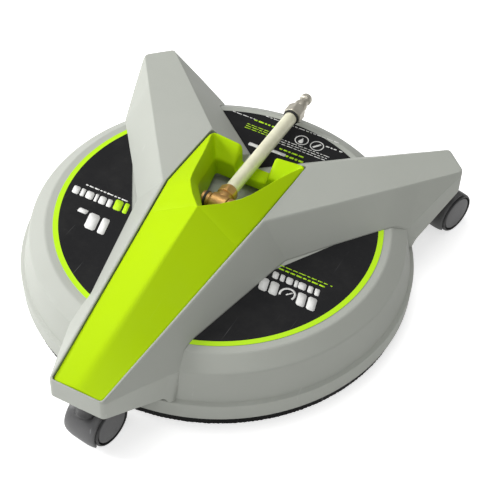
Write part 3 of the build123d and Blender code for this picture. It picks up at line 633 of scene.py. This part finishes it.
def hood_shell(start=80.0, end=205.0):
    """Arc round the axle: at angle a and side place x the radius is R - 1.6 (|x| / half)^4, and
    the arc starts just behind the stem and ends low on the leading side."""
    a = np.radians(np.linspace(start, end, 44))[:, None]
    x = np.linspace(-1, 1, 25)[None, :]
    radius = HOOD_R - 1.6 * np.abs(x) ** 4 + 0 * a
    return patch(np.stack([HOOD_HALF * x + 0 * a, radius * np.cos(a), radius * np.sin(a)], axis=-1))


def web_plate():
    """Middle plate between the wheels: a disc that widens to meet the hood on the leading side."""
    a = np.linspace(0, 2 * np.pi, 72, endpoint=False)
    covered = (np.cos(a) < 0.17) & (np.sin(a) > -0.42)
    edge = np.where(covered, 21.4, 13.5)
    ring = np.stack([edge * np.cos(a), edge * np.sin(a)], axis=-1)
    outline = ((-3.7, 0.12), (-3.7, 0.97), (-3.2, 1), (3.2, 1), (3.7, 0.97), (3.7, 0.12))
    rows = [np.column_stack([0 * a + x, ring * s]) for x, s in outline]
    return patch(np.array(rows), wrap_rows=True, wrap_columns=True)


boss_profile = [(4.1, 42.0), (4.1, 46.9), (6.6, 46.9), (7.4, 46.2), (7.6, 41.5), (9.4, 36.5), (4.1, 36.5)]
boss = turned(boss_profile, 48, [0, 0, 0.4, 0.6, 2.5, 0, 0], closed=True)
for caster, angle_at, heading in CASTERS:
    turn, spot = caster_frame(angle_at, heading)
    stem_spot = spot - turn @ np.array([0.0, CASTER_TRAIL, WHEEL_R])
    shell = moved(hood_shell(), turn, spot)
    add_piece(f"caster_{caster}_cowl", [shell], f"caster_{caster}", "caster_hood",
              [f"caster_{caster}_hood"], wall=HOOD_WALL)
    # the web and the stem boss are coloured near-black: painted shade for the dark hollow round the stem
    # under the arm tip
    add_piece(f"caster_{caster}_web", [moved(web_plate(), turn, spot), moved(boss, turn, stem_spot)],
              f"caster_{caster}", "black_plastic", closed=True)

# %% Sockets in the arm tips
socket_profile = [(6.8, 50.0), (9.2, 50.0), (9.2, 71.5), (6.8, 71.5)]
bosses = []
for caster, angle_at, heading in CASTERS:
    at = (CASTER_REACH * np.cos(angle_at), CASTER_REACH * np.sin(angle_at), 0)
    bosses.append(moved(turned(socket_profile, 40, closed=True), None, at))
add_piece("frame_sockets", bosses, "deck", "grey_shell", closed=True)

# %% [markdown]
# ## Print on the labels
# The black labels carry plain printed marks: bars like lines of small type, a ring gauge and
# drops, all without words. Each mark is a thin closed plate just above its label, and an outline
# function makes it: a bar is a rounded oblong, a ring is two circles, a drop is a circle drawn
# out to a point.

# %% Marks as thin plates
PRINT_LOW, PRINT_HIGH = TOP_Z + 0.3, TOP_Z + 0.46


def plate(outer, inner=None):
    """A flat closed plate between two outlines (rows of plan points); without an inner outline
    it closes on the outline's middle."""
    outer = np.asarray(outer, float)
    inner = outer * 0 + outer.mean(axis=0) if inner is None else np.asarray(inner, float)
    lines = [(inner, PRINT_LOW), (outer, PRINT_LOW), (outer, PRINT_HIGH), (inner, PRINT_HIGH)]
    grid = np.array([np.column_stack([line, 0 * line[:, 0] + z]) for line, z in lines])
    return patch(grid, wrap_columns=True, wrap_rows=True)


def turned_plan(points, angle, centre):
    """Plan points turned by an angle and moved to a centre."""
    c, s = np.cos(angle), np.sin(angle)
    return np.asarray(points) @ np.array([[c, s], [-s, c]]) + np.asarray(centre, float)


def bar(centre, length, width, angle=0.0, lean=0.0):
    """Oblong with cut corners, its ends leaning like italic type: x gains lean * y."""
    l, w, c = length / 2, width / 2, min(width, length) * 0.18
    points = np.array([
        (-l + c, -w), (l - c, -w), (l, -w + c), (l, w - c),
        (l - c, w), (-l + c, w), (-l, w - c), (-l, -w + c),
    ])
    points[:, 0] += lean * points[:, 1]
    return plate(turned_plan(points, angle, centre))


def ring(centre, radius, width, start=0.0, end=2 * np.pi, count=40):
    """Ring or arc of a given width: radius + - width / 2 between two angles."""
    full = abs(end - start) > 6.28
    a = np.linspace(start, end, count, endpoint=not full)
    circle = np.column_stack([np.cos(a), np.sin(a)])
    outer, inner = (circle * (radius + s * width / 2) + centre for s in (1, -1))
    if full:
        return plate(outer, inner)
    outline = np.vstack([outer, inner[::-1]])
    spine = np.vstack([circle, circle[::-1]]) * radius + centre
    return plate(outline, spine)


def drop(centre, size):
    """A drop: x = sin(t) sin(t/2)^2, y = cos(t), scaled to its size."""
    t = np.linspace(0, 2 * np.pi, 32, endpoint=False)
    points = size * np.column_stack([0.85 * np.sin(t) * np.sin(t / 2) ** 2, np.cos(t)])
    return plate(points + centre)


inkwell = np.random.default_rng(11)


def small_print(centre, rows, length, pitch, width):
    """Rows of short bars of seeded lengths, like lines of small type."""
    marks = []
    for row in range(rows):
        x = -length / 2
        while x < length / 2:
            run = inkwell.uniform(2.0, 6.5)
            spot = np.add([x + run / 2, (rows / 2 - row) * pitch], centre)
            marks.append(bar(spot, min(run, length / 2 - x + 0.8), width))
            x += run + 1.1
    return marks


def bold_row(left, y, widths, height, lean=-0.25, gap=1.6):
    """A row of heavy bars from a left end: each starts where the last one ended plus a gap."""
    widths = np.asarray(widths, float)
    starts = left + np.concatenate([[0.0], np.cumsum(widths + gap)[:-1]])
    return [bar((x + w / 2, y), w, height, 0.0, lean) for x, w in zip(starts, widths)]


# %% Left, right and rear marks
left_white = bold_row(-127.0, -31.0, [6.6, 4.0, 7.4, 3.0, 6.6, 4.6], 9.0, gap=1.4)
left_white += bold_row(-96.0, -57.0, [10.5, 7.0], 18.0, gap=2.4) + [bar((-104.5, -50.0), 9.0, 5.0)]
left_white += small_print((-99.0, -22.6), 1, 42.0, 2.6, 1.3)
left_lime = bold_row(-86.0, -29.4, [7.6, 4.2], 12.0, gap=1.8)
right_white = bold_row(64.5, -48.0, [7.6, 7.6], 13.5) + bold_row(98.5, -48.0, [7.6, 7.6], 13.5)
GAUGE_START, GAUGE_END = np.radians([-30, 210])
right_white += [ring((90.0, -48.5), 6.2, 1.8, GAUGE_START, GAUGE_END), bar((91.2, -47.3), 6.0, 1.3, 0.8)]
right_white += bold_row(69.5, -34.6, [5.4, 4.0, 5.8, 3.0], 7.2) + bold_row(93.0, -34.6, [7.0, 4.6, 4.2], 7.2)
right_lime = small_print((92.0, -27.6), 1, 42.0, 2.7, 1.5)
right_lime += small_print((93.0, -24.0), 1, 46.0, 2.7, 0.9)
rear_white = [ring((16.4, 125.0), 6.0, 0.9), drop((16.4, 124.6), 3.9)]
rear_white += [ring((31.8, 124.9), 6.0, 0.9), bar((31.8, 124.9), 8.6, 2.0, 0.9)]
rear_white += small_print((-44.0, 128.0), 1, 26.0, 2.6, 0.9)
rear_white += small_print((10.0, 137.2), 1, 74.0, 2.6, 0.8)
rear_white += small_print((46.0, 127.5), 1, 14.0, 2.6, 1.3)
rear_white += small_print((20.0, 112.6), 3, 56.0, 2.8, 0.8)
rear_white += [bar((-15.8, 97.2), 15.0, 4.0), bar((4.5, 99.1), 17.0, 3.6)]
rear_lime = small_print((-24.0, 127.0), 1, 20.0, 3.2, 1.8)
rear_lime += small_print((-20.0, 116.5), 3, 34.0, 2.7, 0.8)
rear_lime += small_print((16.0, 103.6), 1, 24.0, 2.8, 1.8)
rear_lime += small_print((21.8, 97.6), 1, 17.0, 2.7, 2.4)
for name, marks, slot in (
    ("print_left_white", left_white, "white_print"), ("print_left_lime", left_lime, "lime_print"),
    ("print_right_white", right_white, "white_print"), ("print_right_lime", right_lime, "lime_print"),
    ("print_rear_white", rear_white, "white_print"), ("print_rear_lime", rear_lime, "lime_print"),
):
    piece = add_piece(name, marks, "deck", "black_label", closed=True, even=False)
    piece["ink"] = slot

# %% [markdown]
# ## Finishes
# Moulded plastic has a fine grain, a faint unevenness of colour and a little dust. Those three
# effects are wanted in many materials, so each is a node group built once. Metals get a group
# of fine lines along the way they were turned or drawn.


# %% Node group helper
def new_group(name, inputs, outputs):
    """An empty shader group with named float or colour sockets; returns it with its two ends."""
    group = bpy.data.node_groups.new(name, "ShaderNodeTree")
    for label, kind, value in inputs:
        socket = group.interface.new_socket(name=label, in_out="INPUT", socket_type="NodeSocket" + kind)
        socket.default_value = value
    for label, kind in outputs:
        group.interface.new_socket(name=label, in_out="OUTPUT", socket_type="NodeSocket" + kind)
    return group, group.nodes.new("NodeGroupInput"), group.nodes.new("NodeGroupOutput")


def feed(tree, socket, value):
    """Link a node's input to an output, or set it to a plain number or colour."""
    if isinstance(value, bpy.types.NodeSocket):
        tree.links.new(value, socket)
    else:
        socket.default_value = value


def noise(tree, vector, scale, detail=3.0, roughness=0.5):
    """A Noise Texture node fed by a vector socket."""
    node = tree.nodes.new("ShaderNodeTexNoise")
    node.inputs["Detail"].default_value = detail
    node.inputs["Roughness"].default_value = roughness
    tree.links.new(vector, node.inputs["Vector"])
    feed(tree, node.inputs["Scale"], scale)
    return node.outputs["Fac"]


def spread(tree, value, low, high, out_low=0.0, out_high=1.0):
    """A Map Range node: low..high becomes out_low..out_high, clamped."""
    node = tree.nodes.new("ShaderNodeMapRange")
    tree.links.new(value, node.inputs["Value"])
    for label, number in zip(("From Min", "From Max", "To Min", "To Max"), (low, high, out_low, out_high)):
        feed(tree, node.inputs[label], number)
    return node.outputs["Result"]


def blend_colours(tree, share, first, second):
    """Mix two colours by a mask; either may be a socket or four numbers."""
    node = tree.nodes.new("ShaderNodeMix")
    node.data_type = "RGBA"
    tree.links.new(share, node.inputs["Factor"])
    for socket, colour in ((node.inputs[6], first), (node.inputs[7], second)):
        feed(tree, socket, colour)
    return node.outputs[2]


def combine(tree, operation, first, second):
    """A Math node on two sockets or numbers."""
    node = tree.nodes.new("ShaderNodeMath")
    node.operation = operation
    for socket, value in zip(node.inputs, (first, second)):
        feed(tree, socket, value)
    return node.outputs["Value"]


# %% Moulded grain: height of a fine leather-like texture, with its roughness
grain, start, end = new_group(
    "moulded_grain",
    [("Vector", "Vector", (0, 0, 0)), ("Scale", "Float", 1400.0),
     ("Gloss", "Float", 0.4)],
    [("Height", "Float"), ("Roughness", "Float")],
)
fine = noise(grain, start.outputs["Vector"], start.outputs["Scale"], 4.0, 0.6)
flow = noise(grain, start.outputs["Vector"], 22.0, 3.0, 0.55)
height = combine(grain, "ADD", fine, combine(grain, "MULTIPLY", flow, 0.6))
rough = combine(grain, "ADD", start.outputs["Gloss"], spread(grain, flow, 0.35, 0.65, -0.05, 0.07))
rough = combine(grain, "ADD", rough, spread(grain, fine, 0.35, 0.7, -0.02, 0.04))
grain.links.new(height, end.inputs["Height"])
grain.links.new(rough, end.inputs["Roughness"])

# %% Tone: faint unevenness of colour, pale rubs and dust
tone, start, end = new_group(
    "worn_tone",
    [("Vector", "Vector", (0, 0, 0)), ("Base", "Color", (0.5, 0.5, 0.5, 1)),
     ("Deep", "Color", (0.4, 0.4, 0.4, 1)), ("Dust", "Color", (0.7, 0.68, 0.62, 1)),
     ("Dust Amount", "Float", 0.1)],
    [("Color", "Color")],
)
cloud = noise(tone, start.outputs["Vector"], 9.0, 4.0, 0.6)
speck = noise(tone, start.outputs["Vector"], 620.0, 2.0, 0.5)
base = blend_colours(tone, spread(tone, cloud, 0.3, 0.7), start.outputs["Base"], start.outputs["Deep"])
rubs = noise(tone, start.outputs["Vector"], 38.0, 6.0, 0.7)
patchy = combine(tone, "MULTIPLY", spread(tone, rubs, 0.45, 0.75), 0.6)
all_dust = combine(tone, "ADD", patchy, spread(tone, speck, 0.66, 0.72, 0.0, 0.5))
dust_mask = combine(tone, "MULTIPLY", all_dust, start.outputs["Dust Amount"])
tone.links.new(blend_colours(tone, dust_mask, base, start.outputs["Dust"]), end.inputs["Color"])

# %% Scuffs: thin, rare, nearly straight marks
scuff, start, end = new_group(
    "light_scuffs",
    [("Vector", "Vector", (0, 0, 0)), ("Amount", "Float", 0.5)],
    [("Mask", "Float")],
)
stretch = scuff.nodes.new("ShaderNodeMapping")
stretch.inputs["Rotation"].default_value = (0.2, 0.4, 0.7)
stretch.inputs["Scale"].default_value = (420.0, 14.0, 60.0)
scuff.links.new(start.outputs["Vector"], stretch.inputs["Vector"])
lines = spread(scuff, noise(scuff, stretch.outputs["Vector"], 1.0, 2.0), 0.70, 0.74)
where = spread(scuff, noise(scuff, start.outputs["Vector"], 17.0), 0.52, 0.62)
rare_lines = combine(scuff, "MULTIPLY", lines, where)
scuff.links.new(combine(scuff, "MULTIPLY", rare_lines, start.outputs["Amount"]), end.inputs["Mask"])

# %% Drawn lines: fine streaks along Y, as on tube and turned metal
drawn, start, end = new_group(
    "drawn_lines",
    [("Vector", "Vector", (0, 0, 0)), ("Gloss", "Float", 0.3)],
    [("Height", "Float"), ("Roughness", "Float"), ("Tint", "Float")],
)
pull = drawn.nodes.new("ShaderNodeMapping")
pull.inputs["Scale"].default_value = (1500.0, 25.0, 1500.0)
drawn.links.new(start.outputs["Vector"], pull.inputs["Vector"])
streak = noise(drawn, pull.outputs["Vector"], 1.0, 3.0, 0.6)
stain = noise(drawn, start.outputs["Vector"], 60.0, 4.0, 0.65)
drawn.links.new(streak, end.inputs["Height"])
uneven = spread(drawn, streak, 0.3, 0.7, -0.06, 0.1)
drawn.links.new(combine(drawn, "ADD", start.outputs["Gloss"], uneven), end.inputs["Roughness"])
drawn.links.new(spread(drawn, stain, 0.35, 0.7), end.inputs["Tint"])
print("node groups:", [g.name for g in bpy.data.node_groups])


# %% Plastic and rubber
def start_material(name):
    """A new material: returns it with its tree, its Principled shader and Object coordinates."""
    material = bpy.data.materials.new(name)
    material.use_nodes = True
    tree = material.node_tree
    where = tree.nodes.new("ShaderNodeTexCoord").outputs["Object"]
    return material, tree, tree.nodes["Principled BSDF"], where


def place_group(tree, group, vector, **values):
    """Put a group into a material, feed it the coordinates and set its own values."""
    node = tree.nodes.new("ShaderNodeGroup")
    node.node_tree = group
    tree.links.new(vector, node.inputs["Vector"])
    for label, value in values.items():
        node.inputs[label.replace("_", " ")].default_value = value
    return node


def bump(tree, shader, height, depth, distance=0.001):
    """Turn a height mask into the shader's normal."""
    node = tree.nodes.new("ShaderNodeBump")
    node.inputs["Strength"].default_value = depth
    node.inputs["Distance"].default_value = distance
    tree.links.new(height, node.inputs["Height"])
    tree.links.new(node.outputs["Normal"], shader.inputs["Normal"])


DUST_COLOUR = (0.62, 0.6, 0.54, 1)


def moulded(name, base, deep, gloss, scale=1400.0, depth=0.08, dust=0.06, scuffs=0.4):
    """Moulded plastic or rubber: toned colour, grain in roughness and bump, and light scuffs."""
    material, tree, shader, where = start_material(name)
    colour = place_group(tree, tone, where, Base=base, Deep=deep, Dust=DUST_COLOUR, Dust_Amount=dust)
    texture = place_group(tree, grain, where, Scale=scale, Gloss=gloss)
    marks = place_group(tree, scuff, where, Amount=scuffs)
    pale = tuple(min(1.0, 0.75 * c + 0.25) for c in base[:3]) + (1.0,)
    shade = blend_colours(tree, marks.outputs["Mask"], colour.outputs["Color"], pale)
    tree.links.new(shade, shader.inputs["Base Color"])
    tree.links.new(texture.outputs["Roughness"], shader.inputs["Roughness"])
    bump(tree, shader, texture.outputs["Height"], depth)
    return material


def metal(name, bright, dark, gloss, metallic=1.0, depth=0.03):
    """Drawn or turned metal: streaked roughness, stained colour, fine lines in the bump."""
    material, tree, shader, where = start_material(name)
    lines = place_group(tree, drawn, where, Gloss=gloss)
    shade = blend_colours(tree, lines.outputs["Tint"], bright, dark)
    tree.links.new(shade, shader.inputs["Base Color"])
    tree.links.new(lines.outputs["Roughness"], shader.inputs["Roughness"])
    shader.inputs["Metallic"].default_value = metallic
    bump(tree, shader, lines.outputs["Height"], depth)
    return material


# %% The machine's finishes
finishes = {
    "grey_shell": moulded("warm_grey_plastic", (0.42, 0.435, 0.395, 1), (0.40, 0.415, 0.375, 1), 0.55),
    "lime_cover": moulded("lime_plastic", (0.435, 0.655, 0.001, 1), (0.415, 0.63, 0.001, 1), 0.5,
                          scale=1800.0, depth=0.03, dust=0.01, scuffs=0.1),
    "lime_print": moulded("lime_print", (0.50, 0.83, 0.012, 1), (0.47, 0.80, 0.01, 1), 0.35,
                          depth=0.02, dust=0.03, scuffs=0.2),
    "black_label": moulded("black_label_film", (0.013, 0.013, 0.014, 1), (0.011, 0.011, 0.012, 1), 0.55,
                           scale=2200.0, depth=0.03, dust=0.02, scuffs=0.3),
    "white_print": moulded("white_print", (0.80, 0.80, 0.78, 1), (0.76, 0.76, 0.74, 1), 0.5,
                           depth=0.02, dust=0.03, scuffs=0.0),
    "bristle": moulded("black_nylon_bristle", (0.005, 0.005, 0.005, 1), (0.009, 0.009, 0.009, 1), 0.6,
                       scale=2600.0, depth=0.2, dust=0.01),
    # near-black nylon, used on the caster webs and stem bosses as painted shade under the arm tips
    "black_plastic": moulded("black_nylon_painted_shade", (0.03, 0.03, 0.031, 1), (0.022, 0.022, 0.023, 1), 0.42,
                             dust=0.05),
    "seal_rubber": moulded("seal_rubber", (0.03, 0.028, 0.026, 1), (0.02, 0.02, 0.02, 1), 0.6, dust=0.06),
    "caster_hood": moulded("caster_hood_nylon", (0.095, 0.095, 0.096, 1), (0.08, 0.08, 0.082, 1), 0.38,
                           depth=0.05, dust=0.05),
    "caster_wheel": moulded("caster_wheel_nylon", (0.018, 0.018, 0.019, 1), (0.014, 0.014, 0.015, 1), 0.40,
                            depth=0.05, dust=0.08),
    "brass": metal("turned_brass", (0.74, 0.45, 0.16, 1), (0.50, 0.28, 0.10, 1), 0.40, metallic=0.85),
    "lance_steel": metal("pale_plated_tube", (0.86, 0.84, 0.64, 1), (0.74, 0.72, 0.54, 1), 0.42,
                         metallic=0.15),
    "plug_steel": metal("nickel_plate", (0.66, 0.63, 0.54, 1), (0.46, 0.43, 0.36, 1), 0.40, metallic=0.7),
    "cast_body": metal("cast_aluminium", (0.30, 0.30, 0.30, 1), (0.18, 0.18, 0.18, 1), 0.5, metallic=0.7),
    "stainless": metal("drawn_stainless", (0.62, 0.62, 0.62, 1), (0.50, 0.50, 0.50, 1), 0.25),
    "zinc_steel": metal("zinc_plate", (0.60, 0.61, 0.63, 1), (0.45, 0.46, 0.48, 1), 0.33),
}

# these plastics shine less than the shader's own 0.5
SPECULAR = {"black_label": 0.12, "lime_print": 0.2, "lime_cover": 0.08, "grey_shell": 0.25, "bristle": 0.15}
for slot, level in SPECULAR.items():
    shader = finishes[slot].node_tree.nodes["Principled BSDF"]
    shader.inputs["Specular IOR Level"].default_value = level

# %% Paint every piece by its slot
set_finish(frame["nodes"]["pivot_washer"], "seal_rubber")
slot_of = {part["node"]: part["material_slot"] for part in frame["record"]["subparts"]}
for obj in scene.objects:
    if obj.type != "MESH":
        continue
    slot = obj.get("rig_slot") or slot_of.get(obj.get("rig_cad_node", ""))
    slot = obj.get("ink", slot)
    obj.data.materials.clear()
    obj.data.materials.append(finishes[slot])

# %% [markdown]
# ## Floor, light and camera
# A pale floor, a large soft light from the left, weaker ones from above and from the front, and
# a long lens that looks down on the nose from the front right. The floor and the sky look
# brighter to the camera than they shine on the machine, so the ground stays white without
# lighting the deck from below.

# %% Floor
floor_mesh = bpy.data.meshes.new("floor")
FLOOR = 20.0
FLOOR_SHED, FLOOR_NEAR, FLOOR_FAR = 0.35, 0.62, 0.95   # glow on the machine; seen near it, far off
SKY_SHED, SKY_SEEN = 0.30, 1.0
floor_corners = [(-FLOOR, -FLOOR, 0), (FLOOR, -FLOOR, 0), (FLOOR, FLOOR, 0), (-FLOOR, FLOOR, 0)]
floor_mesh.from_pydata(floor_corners, [], [(0, 1, 2, 3)])
floor = bpy.data.objects.new("floor", floor_mesh)
scene.collection.objects.link(floor)
floor_paint, floor_tree, floor_shader, floor_where = start_material("pale_floor")
floor_mesh.materials.append(floor_paint)
for label, value in (("Base Color", (0.80, 0.80, 0.80, 1)), ("Emission Color", (1, 1, 1, 1)),
                     ("Roughness", 0.6), ("Specular IOR Level", 0.1)):
    floor_shader.inputs[label].default_value = value
floor_seen = floor_tree.nodes.new("ShaderNodeLightPath")
from_middle = floor_tree.nodes.new("ShaderNodeVectorMath")
from_middle.operation = "LENGTH"
floor_tree.links.new(floor_where, from_middle.inputs[0])
seen_glow = spread(floor_tree, from_middle.outputs["Value"], 0.5, 1.6, FLOOR_NEAR, FLOOR_FAR)
floor_glow = spread(floor_tree, floor_seen.outputs["Is Camera Ray"], 0.0, 1.0, FLOOR_SHED, seen_glow)
floor_tree.links.new(floor_glow, floor_shader.inputs["Emission Strength"])

# %% Lights
world = bpy.data.worlds.new("studio")
scene.world = world
world.use_nodes = True
sky = world.node_tree.nodes["Background"]
sky.inputs["Color"].default_value = (1.0, 1.0, 1.0, 1)
seen = world.node_tree.nodes.new("ShaderNodeLightPath")
sky_strength = spread(world.node_tree, seen.outputs["Is Camera Ray"], 0.0, 1.0, SKY_SHED, SKY_SEEN)
world.node_tree.links.new(sky_strength, sky.inputs["Strength"])


def soft_light(name, spot, size, power):
    """A square area light at a spot, turned to face the machine."""
    data = bpy.data.lights.new(name, "AREA")
    data.shape = "SQUARE"
    data.size = size
    data.energy = power
    lamp = bpy.data.objects.new(name, data)
    away = np.array(spot, float)
    away /= np.linalg.norm(away)
    side = np.cross((0, 0, 1), away)
    side /= np.linalg.norm(side)
    lift = np.cross(away, side)
    lamp_rows = [[side[k], lift[k], away[k], spot[k]] for k in range(3)]
    lamp.matrix_world = Matrix(lamp_rows + [[0, 0, 0, 1]])
    scene.collection.objects.link(lamp)


soft_light("left_key", (-1.65, -0.55, 1.0), 0.9, 38.0)
soft_light("top_fill", (-0.2, 0.3, 2.0), 1.2, 13.0)
soft_light("front_fill", (0.3, -1.6, 1.5), 1.2, 6.0)

# %% Camera
AZIMUTH, ELEVATION, ROLL = np.radians([26.162, 46.234, 2.694])
LENS = 93.6
back = np.array([
    np.sin(AZIMUTH) * np.cos(ELEVATION), -np.cos(AZIMUTH) * np.cos(ELEVATION), np.sin(ELEVATION),
])
across = np.array([np.cos(AZIMUTH), np.sin(AZIMUTH), 0.0])
upward = np.cross(back, across)
right = np.cos(ROLL) * across + np.sin(ROLL) * upward
up = -np.sin(ROLL) * across + np.cos(ROLL) * upward
camera = bpy.data.objects.new("camera", bpy.data.cameras.new("camera"))
camera.data.lens = LENS
camera.data.sensor_width = 36.0
eye = place((370.1, -690.7, 845.9))
camera_rows = [[right[k], up[k], back[k], eye[k]] for k in range(3)]
camera.matrix_world = Matrix(camera_rows + [[0, 0, 0, 1]])
scene.collection.objects.link(camera)
scene.camera = camera
scene.view_settings.view_transform = "Standard"
print("camera at", np.round(eye, 3))

# %% Update the scene
bpy.context.view_layer.update()
